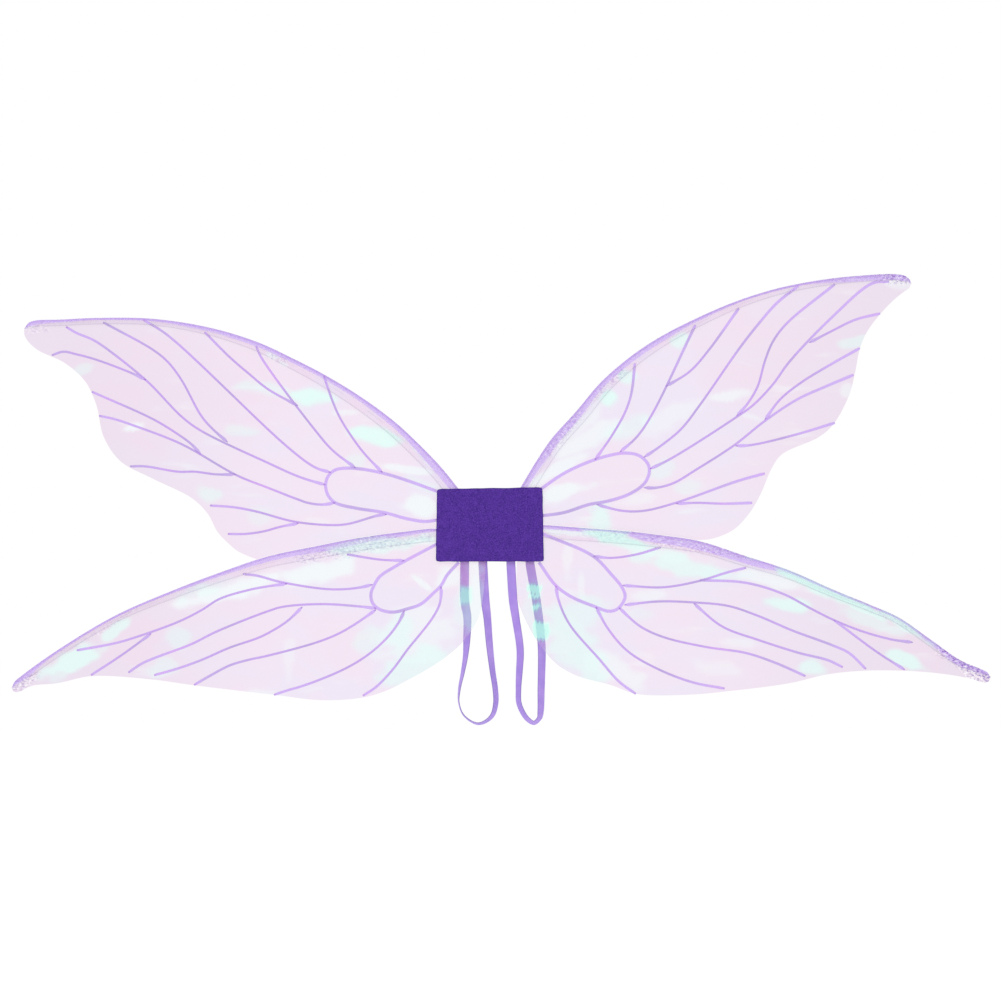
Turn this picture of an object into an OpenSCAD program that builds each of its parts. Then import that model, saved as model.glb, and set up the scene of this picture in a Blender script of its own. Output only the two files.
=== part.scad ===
// Fairy wings: four clear film wings on bent wires, held in a felt back patch with two elastic arm loops.
// Origin: centre of the back patch's rear face, the face that rests on the wearer.
// +X is the right-hand wing seen from behind the wearer, +Z is up, and -Y points away from the wearer.

/* [Back patch] */
// Width of the two felt covers
patch_w = 120; // [100:1:150]
// Height of the two felt covers
patch_h = 82; // [66:1:105]
// Corner radius of the felt covers
cover_r = 3; // [1:0.5:8]
// Thickness of the front felt cover
front_cover_t = 1.8; // [1:0.1:3]
// Thickness of the rear felt cover
rear_cover_t = 1.5; // [1:0.1:3]
// Thickness of the stiff board between the covers
board_t = 1.5; // [1:0.1:3]
// How far the board's edge stays inside the covers
board_margin = 4; // [2:0.5:10]

/* [Wings] */
// Upper left wing, from its fold line out to its tip
upper_left_reach = 461; // [380:1:555]
// Upper right wing, from its fold line out to its tip
upper_right_reach = 411; // [340:1:495]
// Lower left wing, from its fold line out to its tip
lower_left_reach = 475; // [395:1:570]
// Lower right wing, from its fold line out to its tip
lower_right_reach = 500; // [415:1:600]
// Thickness of the film
film_t = 0.3; // [0.2:0.05:0.5]
// Width of the film folded back over each wire
hem_w = 15; // [8:0.5:22]
// Diameter of the steel wire in each leading edge
wire_d = 1.8; // [1.2:0.1:2.4]
// Clearance between an upper wing's film and the lower wing's leading edge
wing_gap = 3; // [2:0.5:6]

/* [Arm loops] */
// Width of the elastic
strap_w = 10; // [6:0.5:15]
// Thickness of the elastic
strap_t = 1; // [0.6:0.1:1.5]
// Hanging length of a loop below the patch
strap_drop = 184; // [150:1:225]
// Length of elastic held between the covers
strap_hold = 24; // [14:1:30]

/* [Hidden] */

// Layers, front faces counted forwards (towards -Y) from the wearer's side
rear_front = rear_cover_t;
strap_front = rear_front + strap_t;
board_front = strap_front + board_t;
film_front = board_front + film_t;
wire_front = film_front + wire_d;
hem_front = wire_front + film_t;
cover_front = hem_front + front_cover_t;
wire_y = -(film_front + wire_d / 2);

// Fold lines: the wires and film bend here, just outside the covers' sides
fold_out = 3;
fold_x = patch_w / 2 + fold_out;
// Room each side of a fold line, more than half the depth of wire and film together
fold_clear = 0.5;
fold_gap = wire_d / 2 + film_t + fold_clear;
hem_slack = 0.3;
wire_inset = wire_d / 2 + film_t + hem_slack;

// Elastic: the loops swing about a line just below the covers
swing_clear = 0.7;
swing_gap = strap_t / 2 + swing_clear;
swing_drop = swing_gap + 1;
loop_top = swing_drop + swing_gap;
strap_y = -(rear_front + strap_t / 2);
patch_bottom = -patch_h / 2;
tack_w = 8;
tack_h = 1.2;
tack_rise = 12;

// Glue beads and pads
bead_w = 5;
pad_l = 16;
pad_w = 8;
// Length of the bore a wire leaves through its pad, longer than the pad at both ends
bore_l = 3 * pad_l;
// Both ends of each bead, as shares of half the patch: on the board, on the film, and behind the board
BOARD_BEADS = [[[0, -0.6], [0, 0.5]], [[-0.3, 0.85], [0.3, 0.85]]];
FILM_BEADS = [[[-0.84, -0.88], [-0.24, -0.88]], [[0.68, -0.88], [0.84, -0.88]]];
REAR_BEADS = [[[-0.76, 0.76], [0.76, 0.76]], [[-0.88, -0.6], [-0.88, 0.2]], [[0.88, -0.6], [0.88, 0.2]]];

curve_steps = 4;
wire_sides = 8;
arc_sides = 32;
nearest_knot = 0.01;
far = 1000;

// Outlines, millimetres on the wing as drawn: [outward from the fold line, up from the patch's middle].
// A lead list runs along the leading edge from the patch to the tip, a trail list from the tip back.
UPPER_LEFT_LEAD = [[-8, 65], [18, 92], [44, 116], [82, 144], [123, 169], [160, 188], [199, 206],
  [252, 222], [316, 232], [380, 233], [424, 231], [454, 229], [461, 222]];
UPPER_LEFT_TRAIL = [[456, 208], [446, 197], [415, 182], [392, 161], [380, 135], [372, 100], [353, 72],
  [316, 52], [272, 30], [254, 12], [244, -7], [234, -18], [222, -28.5], [210, -34.5], [204, -36.5]];
UPPER_RIGHT_LEAD = [[-7, 78], [7, 98], [34, 128], [62, 161], [97, 191], [129, 212], [168, 232],
  [212, 251], [252, 264], [282, 271], [326, 278], [375, 282], [402, 282], [411, 276]];
UPPER_RIGHT_TRAIL = [[406, 266], [394, 255], [375, 236], [361, 217], [353, 198], [348, 173], [341, 146],
  [323, 113], [307, 99], [266, 80], [255, 66], [241, 34], [230, 15], [214, -3], [200, -11],
  [184, -15.5], [180, -16]];
LOWER_LEFT_LEAD = [[0, -4], [30, -7], [82, -14], [134, -24], [186, -35], [237, -52], [295, -74],
  [359, -102], [424, -141], [462, -168], [475, -182]];
LOWER_LEFT_TRAIL = [[470, -187], [453, -181], [424, -178], [385, -170], [316, -174], [273, -180],
  [180, -191], [126, -197], [80, -194], [53, -186], [29, -174], [4, -160], [-15, -147], [-31, -133],
  [-43, -117], [-52, -98], [-58, -44], [-57, -36]];
LOWER_RIGHT_LEAD = [[-3, 0], [26, -2], [92, -7], [126, -11], [172, -18], [225, -35], [274, -51],
  [324, -73], [363, -89], [397, -104], [433, -129], [466, -152], [496, -167], [500, -172]];
LOWER_RIGHT_TRAIL = [[494, -176], [479, -173], [443, -167], [404, -164], [357, -164], [317, -168],
  [274, -178], [205, -187], [159, -191], [102, -190], [73, -180], [36, -170], [14, -158], [0, -144],
  [-11, -129], [-23, -107], [-32, -83], [-33, -42], [-34, -36]];

// Wire ends under the covers, as shares of half the patch: the end itself, then where it starts to bend
UPPER_LEFT_ROOT = [[0.23, 0.34], [0.50, 0.83]];
UPPER_RIGHT_ROOT = [[0.24, 0.24], [0.46, 0.76]];
LOWER_LEFT_ROOT = [[0.37, -0.20], [0.80, -0.15]];
LOWER_RIGHT_ROOT = [[0.37, -0.07], [0.77, -0.02]];

// Arm loops: [across, towards the wearer from the elastic's layer, drop below the covers, twist]
// The loops' lowest points are drawn at this drop
DRAWN_DROP = 184;
// A lower wing this share bigger than drawn reaches across a loop, which then hangs flat behind it
FLAT_SHARE = 0.05;
LEFT_LOOP = [[-28.5, 0, loop_top, 0], [-28.5, 0.4, 43, 8], [-25.5, 1.8, 64, 28], [-26, 2.2, 84, 36],
  [-27.5, 0, 106, 56], [-30.5, -3, 124, 66], [-34.5, -4, 144, 76], [-35, -4, 159, 84],
  [-29.5, -4, 173, 82], [-13.5, -4, 182.5, 74], [2, -4, 174, 62], [6.5, -3.5, 159, 56],
  [6, -3, 144, 54], [3, -2, 124, 52], [-0.5, -0.5, 94, 42], [-3, 1, 64, 32], [-5.5, 1, 43, 14],
  [-8, 0, loop_top, 0]];
RIGHT_LOOP = [[23.5, 0, loop_top, 0], [26, 0.8, 43, 14], [29, 1, 64, 30], [33.5, -1, 94, 36],
  [34, -2, 106, 38], [33, -3, 124, 44], [32, -4, 144, 54], [32.5, -4, 159, 55], [37.5, -4, 171, 56],
  [43, -4, 178, 58], [49.5, -4, 181.5, 62], [55, -4, 177, 58], [57, -3.5, 168, 46],
  [57.5, -3, 144, 38], [58, -2, 126, 36], [58.3, 2, 100, 30], [57, 2, 80, 26], [55, 1.4, 64, 20],
  [52, 0.6, 43, 10], [45, 0, loop_top, 0]];

// Curves: a centripetal Catmull-Rom through every point, so close points don't overshoot
function knot(a, b) = sqrt(max(norm(b - a), nearest_knot));
function hermite(b, c, m1, m2, t) =
  b * (2*t^3 - 3*t^2 + 1) + m1 * (t^3 - 2*t^2 + t) + c * (3*t^2 - 2*t^3) + m2 * (t^3 - t^2);
function span(a, b, c, d, t) =
  let (d0 = knot(a, b), d1 = knot(b, c), d2 = knot(c, d),
       m1 = ((b - a) / d0 - (c - a) / (d0 + d1) + (c - b) / d1) * d1,
       m2 = ((c - b) / d1 - (d - b) / (d1 + d2) + (d - c) / d2) * d1)
  hermite(b, c, m1, m2, t);
function before(p, i) = i > 0 ? p[i - 1] : 2 * p[0] - p[1];
function after(p, i) = i < len(p) ? p[i] : 2 * p[len(p) - 1] - p[len(p) - 2];
function curve(p) = [
  for (i = [0 : len(p) - 2], k = [0 : curve_steps - 1])
    span(before(p, i), p[i], p[i + 1], after(p, i + 2), k / curve_steps),
  p[len(p) - 1]];
function from(p, i) = [for (k = [i : len(p) - 1]) p[k]];
function reversed(p) = [for (k = [len(p) - 1 : -1 : 0]) p[k]];

// A path moved sideways, to the left of its own direction where d is positive
function left_of(p, i) =
  let (t = p[min(i + 1, len(p) - 1)] - p[max(i - 1, 0)]) [-t.y, t.x] / norm(t);
function beside(p, d) = [for (i = [0 : len(p) - 1]) p[i] + d * left_of(p, i)];

// The stretch of a path that lies outward or inward of one line, cut exactly on it
function cut_point(a, b, u) = a + (b - a) * (u - a.x) / (b.x - a.x);
function outward(p, u) = [
  for (i = [0 : len(p) - 1])
    each p[i].x >= u ? (i > 0 && p[i - 1].x < u ? [cut_point(p[i - 1], p[i], u), p[i]] : [p[i]]) : []];
function inward(p, u) =
  let (n = len([for (q = p) if (q.x < u) q])) [for (i = [0 : n - 1]) p[i], cut_point(p[n - 1], p[n], u)];

// Wing outlines at the set reach
function drawn_reach(lead) = max([for (q = lead) q.x]);
function sized(p, lead, reach) = p * reach / drawn_reach(lead);
function root_points(root) =
  [for (r = root) [r.x * patch_w / 2 - fold_x, r.y * patch_h / 2]];
function lead_path(root, lead, reach) =
  let (c = concat(root_points(root), sized(lead, lead, reach))) from(curve(c), curve_steps);
function wire_path(root, lead, reach) =
  beside(concat([root_points(root)[0]], lead_path(root, lead, reach)), -wire_inset);
function trail_path(lead, trail, reach) =
  let (c = concat([lead[len(lead) - 1]], trail)) from(sized(curve(c), lead, reach), 1);
// An upper wing's lower edge follows the lower wing's leading edge, from where they meet in to the root
function shared_edge(meet, root, lead, reach) =
  [for (q = reversed(lead_path(root, lead, reach))) if (q.x < meet) q + [0, wing_gap]];
function last(p) = p[len(p) - 1];

module in_wing_plane(side) {
  multmatrix([[side, 0, 0, side * fold_x], [0, 0, -1, 0], [0, 1, 0, 0], [0, 0, 0, 1]]) children();
}

// Film: the sheet behind the wire, the edge turned round it and the hem in front, all one piece
module folded_film(lead, outline) {
  translate([0, 0, board_front]) linear_extrude(film_t) polygon(outline);
  translate([0, 0, board_front]) linear_extrude(hem_front - board_front) edge_strip(lead, film_t);
  translate([0, 0, wire_front]) linear_extrude(film_t) edge_strip(lead, hem_w);
}

// A strip along a leading edge; it narrows to nothing at the tip's turn
module edge_strip(lead, width) {
  n = len(lead) - 1 - curve_steps;
  inner = [for (i = [0 : n]) lead[i] - left_of(lead, i) * width * (i < n ? 1 : 0.5)];
  polygon(concat([for (i = [0 : n]) lead[i]], reversed(inner)));
}

module wing_side(side, outer) {
  intersection() {
    in_wing_plane(side) children();
    if (outer) translate([side > 0 ? fold_x + fold_gap : -fold_x - fold_gap - far, -far / 2, -far / 2])
      cube([far, far, far]);
    else translate([-fold_x + fold_gap, -far / 2, -far / 2]) cube([2 * (fold_x - fold_gap), far, far]);
  }
}

module upper_film(side, outer, root, lead, trail, reach, low_root, low_lead, low_reach) {
  edge = lead_path(root, lead, reach);
  tail = trail_path(lead, trail, reach);
  low = shared_edge(last(tail).x, low_root, low_lead, low_reach);
  wing_side(side, outer) folded_film(edge, concat(edge, tail, low));
}

module lower_film(side, outer, root, lead, trail, reach) {
  edge = lead_path(root, lead, reach);
  wing_side(side, outer) folded_film(edge, concat(edge, trail_path(lead, trail, reach)));
}

// A round wire swept along a path in the wing's plane
module wire(side, path) {
  rings = len(path);
  points = [
    for (i = [0 : rings - 1], k = [0 : wire_sides - 1])
      let (a = 360 * k / wire_sides, q = path[i] + left_of(path, i) * cos(a) * wire_d / 2)
        [side * (fold_x + q.x), wire_y + sin(a) * wire_d / 2, q.y]];
  polyhedron(points, tube_faces(rings, wire_sides, side < 0));
}

function tube_faces(rings, sides, flip) =
  let (walls = [
         for (i = [0 : rings - 2], k = [0 : sides - 1])
           let (k2 = (k + 1) % sides, a = i * sides, b = a + sides)
             each [[a + k, a + k2, b + k2], [a + k, b + k2, b + k]]],
       first = [for (k = [sides - 1 : -1 : 0]) k],
       end = [for (k = [0 : sides - 1]) (rings - 1) * sides + k],
       faces = concat([first], walls, [end]))
  flip ? [for (f = faces) reversed(f)] : faces;

module wire_root(side, root, lead, reach) {
  color("silver") wire(side, inward(wire_path(root, lead, reach), -fold_gap));
}
module wing_wire(side, root, lead, reach) {
  color("silver") wire(side, outward(wire_path(root, lead, reach), fold_gap));
}

module cover_plate(t, margin, front) {
  w = patch_w - 2 * margin;
  h = patch_h - 2 * margin;
  translate([0, -front + t, 0]) rotate([90, 0, 0]) linear_extrude(t) {
    square([w - 2 * cover_r, h], center = true);
    square([w, h - 2 * cover_r], center = true);
    for (x = [-1, 1], z = [-1, 1])
      translate([x * (w / 2 - cover_r), z * (h / 2 - cover_r)]) circle(cover_r, $fn = arc_sides);
  }
}

// A place on the covers from its shares of half the patch
function on_patch(share) = [share.x * patch_w / 2, share.y * patch_h / 2];

// A bead of hot glue laid between two points, filling one layer
module bead(a, b, width, back, front) {
  d = b - a;
  translate([a.x, -back, a.y]) rotate([0, -atan2(d.y, d.x), 0]) rotate([90, 0, 0])
    linear_extrude(front - back) {
      translate([0, -width / 2]) square([norm(d), width]);
      circle(width / 2, $fn = arc_sides);
      translate([norm(d), 0]) circle(width / 2, $fn = arc_sides);
    }
}

module front_cover() {
  color("rebeccapurple") cover_plate(front_cover_t, 0, cover_front);
}
module rear_cover() {
  color("rebeccapurple") difference() {
    cover_plate(rear_cover_t, 0, rear_front);
    for (loop = [LEFT_LOOP, RIGHT_LOOP]) for (run = [loop[0], last(loop)]) tack(run);
  }
}
module core_board() {
  color("gainsboro") cover_plate(board_t, board_margin, board_front);
}

// Front glue: one bead down the middle, one along the top, two over the film at the bottom
module front_cover_glue() {
  color("ivory") {
    for (b = BOARD_BEADS) bead(on_patch(b[0]), on_patch(b[1]), bead_w, board_front, hem_front);
    for (b = FILM_BEADS) bead(on_patch(b[0]), on_patch(b[1]), bead_w, film_front, hem_front);
  }
}
// Rear glue: three beads between the rear cover and the board, clear of the elastic's ends
module rear_cover_glue() {
  color("ivory")
    for (b = REAR_BEADS) bead(on_patch(b[0]), on_patch(b[1]), bead_w, rear_front, strap_front);
}
// A pad of glue round each wire's straight end, holding it to the board
module wire_glue_pad(side, path) {
  a = path[0];
  d = (path[1] - a) / norm(path[1] - a);
  mirror_x = side < 0 ? 1 : 0;
  mirror([mirror_x, 0, 0]) difference() {
    bead([fold_x + a.x, a.y] + d * pad_w / 2, [fold_x + a.x, a.y] + d * (pad_l - pad_w / 2), pad_w,
      board_front, hem_front);
    translate([fold_x + a.x, wire_y, a.y]) rotate([0, 90 - atan2(d.y, d.x), 0])
      cylinder(h = bore_l, d = wire_d, center = true, $fn = arc_sides);
  }
}
module wire_glue_pads() {
  color("ivory") {
    wire_glue_pad(-1, wire_path(UPPER_LEFT_ROOT, UPPER_LEFT_LEAD, upper_left_reach));
    wire_glue_pad(-1, wire_path(LOWER_LEFT_ROOT, LOWER_LEFT_LEAD, lower_left_reach));
    wire_glue_pad(1, wire_path(UPPER_RIGHT_ROOT, UPPER_RIGHT_LEAD, upper_right_reach));
    wire_glue_pad(1, wire_path(LOWER_RIGHT_ROOT, LOWER_RIGHT_LEAD, lower_right_reach));
  }
}

// Elastic ends: straight runs sewn to the rear cover, leaving at its bottom edge
module strap_end(run) {
  color("mediumpurple") difference() {
    translate([run.x - strap_w / 2, -strap_front, patch_bottom - swing_drop + swing_gap])
      cube([strap_w, strap_t, strap_hold]);
    tack(run);
  }
}
module strap_ends_left() {
  strap_end(LEFT_LOOP[0]);
  strap_end(last(LEFT_LOOP));
}
module strap_ends_right() {
  strap_end(RIGHT_LOOP[0]);
  strap_end(last(RIGHT_LOOP));
}
// A dense bar of stitches through the elastic and the rear cover
module tack(run) {
  translate([run.x - tack_w / 2, -strap_front, patch_bottom + tack_rise])
    cube([tack_w, strap_front, tack_h]);
}
module strap_tacks() {
  color("indigo") for (loop = [LEFT_LOOP, RIGHT_LOOP]) for (run = [loop[0], last(loop)]) tack(run);
}

// How far a loop may stand forward and turn: all of it beside a lower wing of the drawn size
function loop_ease(reach, lead) = max(0, min(1, 1 - (reach / drawn_reach(lead) - 1) / FLAT_SHARE));
function hung(drop) = drop > loop_top ? drop * strap_drop / DRAWN_DROP : drop;

// A flat elastic band swept along its loop, turning by the twist given at each point
module strap_loop(loop, ease) {
  path = curve([for (q = loop) [q[0], q[1] < 0 ? q[1] * ease : q[1], hung(q[2]), q[3] * ease]]);
  n = len(path);
  centre = [for (q = path) [q[0], strap_y + q[1], patch_bottom - q[2]]];
  points = [
    for (i = [0 : n - 1])
      let (t = centre[min(i + 1, n - 1)] - centre[max(i - 1, 0)],
           out = [t.z, 0, -t.x] / norm([t.z, t.x]),
           wide = cos(path[i][3]) * out + sin(path[i][3]) * [0, 1, 0],
           thick = cross(t / norm(t), wide))
        each [for (c = [[1, 1], [-1, 1], [-1, -1], [1, -1]])
          centre[i] + wide * c.x * strap_w / 2 + thick * c.y * strap_t / 2]];
  color("mediumpurple") polyhedron(points, tube_faces(n, 4, false));
}

module strap_loop_left() { strap_loop(LEFT_LOOP, loop_ease(lower_left_reach, LOWER_LEFT_LEAD)); }
module strap_loop_right() { strap_loop(RIGHT_LOOP, loop_ease(lower_right_reach, LOWER_RIGHT_LEAD)); }

// The wings' own pieces
module wire_root_upper_left() { wire_root(-1, UPPER_LEFT_ROOT, UPPER_LEFT_LEAD, upper_left_reach); }
module wire_root_lower_left() { wire_root(-1, LOWER_LEFT_ROOT, LOWER_LEFT_LEAD, lower_left_reach); }
module wire_root_upper_right() { wire_root(1, UPPER_RIGHT_ROOT, UPPER_RIGHT_LEAD, upper_right_reach); }
module wire_root_lower_right() { wire_root(1, LOWER_RIGHT_ROOT, LOWER_RIGHT_LEAD, lower_right_reach); }
module wire_upper_left() { wing_wire(-1, UPPER_LEFT_ROOT, UPPER_LEFT_LEAD, upper_left_reach); }
module wire_lower_left() { wing_wire(-1, LOWER_LEFT_ROOT, LOWER_LEFT_LEAD, lower_left_reach); }
module wire_upper_right() { wing_wire(1, UPPER_RIGHT_ROOT, UPPER_RIGHT_LEAD, upper_right_reach); }
module wire_lower_right() { wing_wire(1, LOWER_RIGHT_ROOT, LOWER_RIGHT_LEAD, lower_right_reach); }
module upper_left_film(outer) {
  color("plum", 0.5) upper_film(-1, outer, UPPER_LEFT_ROOT, UPPER_LEFT_LEAD, UPPER_LEFT_TRAIL,
    upper_left_reach, LOWER_LEFT_ROOT, LOWER_LEFT_LEAD, lower_left_reach);
}
module upper_right_film(outer) {
  color("plum", 0.5) upper_film(1, outer, UPPER_RIGHT_ROOT, UPPER_RIGHT_LEAD, UPPER_RIGHT_TRAIL,
    upper_right_reach, LOWER_RIGHT_ROOT, LOWER_RIGHT_LEAD, lower_right_reach);
}
module lower_left_film(outer) {
  color("plum", 0.5)
    lower_film(-1, outer, LOWER_LEFT_ROOT, LOWER_LEFT_LEAD, LOWER_LEFT_TRAIL, lower_left_reach);
}
module lower_right_film(outer) {
  color("plum", 0.5)
    lower_film(1, outer, LOWER_RIGHT_ROOT, LOWER_RIGHT_LEAD, LOWER_RIGHT_TRAIL, lower_right_reach);
}

front_cover();
rear_cover();
core_board();
front_cover_glue();
rear_cover_glue();
wire_glue_pads();
strap_tacks();
strap_ends_left();
strap_ends_right();
wire_root_upper_left();
wire_root_lower_left();
wire_root_upper_right();
wire_root_lower_right();
upper_left_film(false);  // film_root_upper_left
lower_left_film(false);  // film_root_lower_left
upper_right_film(false);  // film_root_upper_right
lower_right_film(false);  // film_root_lower_right
wire_upper_left();
wire_lower_left();
wire_upper_right();
wire_lower_right();
upper_left_film(true);  // film_upper_left
lower_left_film(true);  // film_lower_left
upper_right_film(true);  // film_upper_right
lower_right_film(true);  // film_lower_right
strap_loop_left();
strap_loop_right();
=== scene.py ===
"""Fairy wings: clear film wings on wires, a felt back patch and two elastic arm loops."""

import math

import bmesh
import bpy
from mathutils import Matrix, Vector, noise
from mathutils.bvhtree import BVHTree


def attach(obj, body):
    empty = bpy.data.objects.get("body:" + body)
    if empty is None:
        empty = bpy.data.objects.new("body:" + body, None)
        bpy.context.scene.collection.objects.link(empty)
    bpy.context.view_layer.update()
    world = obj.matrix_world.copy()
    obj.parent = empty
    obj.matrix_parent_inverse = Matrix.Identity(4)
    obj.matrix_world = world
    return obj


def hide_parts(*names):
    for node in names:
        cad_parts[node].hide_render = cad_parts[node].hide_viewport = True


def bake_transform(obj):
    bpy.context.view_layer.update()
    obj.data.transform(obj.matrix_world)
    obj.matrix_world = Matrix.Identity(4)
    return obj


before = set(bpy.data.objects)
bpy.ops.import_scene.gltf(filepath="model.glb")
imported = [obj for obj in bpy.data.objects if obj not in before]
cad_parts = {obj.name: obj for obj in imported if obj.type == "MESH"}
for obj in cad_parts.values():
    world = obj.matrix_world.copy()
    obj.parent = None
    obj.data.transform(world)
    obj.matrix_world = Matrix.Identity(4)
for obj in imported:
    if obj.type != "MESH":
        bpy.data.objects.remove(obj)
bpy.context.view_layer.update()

bl_info = {
    "name": "Fairy Wings",
    "version": (1, 0, 0),
    "blender": (4, 5, 0),
    "location": "View3D > Sidebar > Fairy Wings",
    "description": "Film wings, felt back patch, wires and elastic arm loops around a fixed frame",
    "category": "Object",
}

MM = 0.001
SEED = 7.3

# The patch and its fold lines, metres
PATCH_W, PATCH_H = 0.120, 0.082
FOLD_X = 0.063

# Layers at rest, metres along Y; the wearer is at +Y
REAR_FELT_Y = (0.0, -0.0015)
STRAP_Y = -0.0020
SHEET_Y = -0.00415
WIRE_Y = -0.0052
HEM_Y = -0.00625
FRONT_FELT_Y = (-0.0064, -0.0082)

WIRE_D = 0.0018
WIRE_INSET = 1.5
HEM_W = 15.0
HEM_FOLD_R = 1.05
WING_GAP = 0.4
MERGE = 1e-7
NEAREST_POINT = 0.01
FRONT_CLEAR = 0.05

# How finely each piece is drawn
SHEET_ROWS = 46
SHEET_CROWDING = 1.15
STATIONS = 240
HEM_ROWS = (1.0, 0.88, 0.76, 0.64, 0.52, 0.4, 0.28, 0.14)
WRAP_ROWS = (0.0, 0.17, 0.33, 0.5, 0.67, 0.83, 1.0)
LEAD_STEPS = 24
WIRE_STATIONS, WIRE_SIDES = 420, 12
WIRE_END = (0.15, 0.6, 0.87, 1.0)
FELT_COLUMNS, FELT_ROWS = 60, 42
CURVE_STEPS, LOOP_HELD_STEPS, LOOP_SIDES = 12, 8, 28

# Film: shares of its length and width where its hem narrows, then where it lies calm
HEM_NARROWS, HEM_ENDS = (0.15, 0.8), (0.985, 1.0)
HEM_SHARE, HEM_TIP = 0.42, 0.25
BAND_SHARE, GLARE_GAIN = 0.96, 1.5
NEAR_PATCH, NEAR_HEM = 0.04, (3.0, 9.0)
CALM, SLACK, LOOSE = (0.010, 0.110), (0.004, 0.090), 0.030

# Veins: spacing of their points in millimetres, then how far they lie off the film, metres
VEIN_STEP = 2.2
VEIN_LIFT = 0.00014
VEIN_LAYER = 0.00002
VEIN_FLARE, VEIN_TIP, VEIN_START = (0.018, 0.005), 0.005, 0.004

# Corners of the front felt: lower left and right, upper left and right, millimetres
FELT_CORNERS = ((-61.0, -41.0), (60.6, -41.0), (-59.6, 40.6), (59.0, 42.4))
REAR_FELT_SHARE = (0.985, 0.98)
FELT_EDGE_ROUND, FELT_EDGE_SEGMENTS, FELT_EDGE_ANGLE = 0.0005, 3, 40

# Stage, metres and watts; each lamp is a name, place, power and size
FLOOR_RADIUS, FLOOR_SIDES, FLOOR_Z, FLOOR_GLOW = 9.0, 96, -0.62, 0.14
LAMPS = (
    ("key", (-1.6, -2.6, 2.4), 26.0, 1.2),
    ("fill", (2.2, 1.8, 1.4), 10.0, 1.6),
)
CAMERA_DISTANCE, VIEW_WIDTH = 6.0, 1.126
CAMERA_X, CAMERA_Z, CAMERA_FAR = 0.0118, 0.0276, 60.0
SENSOR_WIDTH = 36.0

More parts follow.
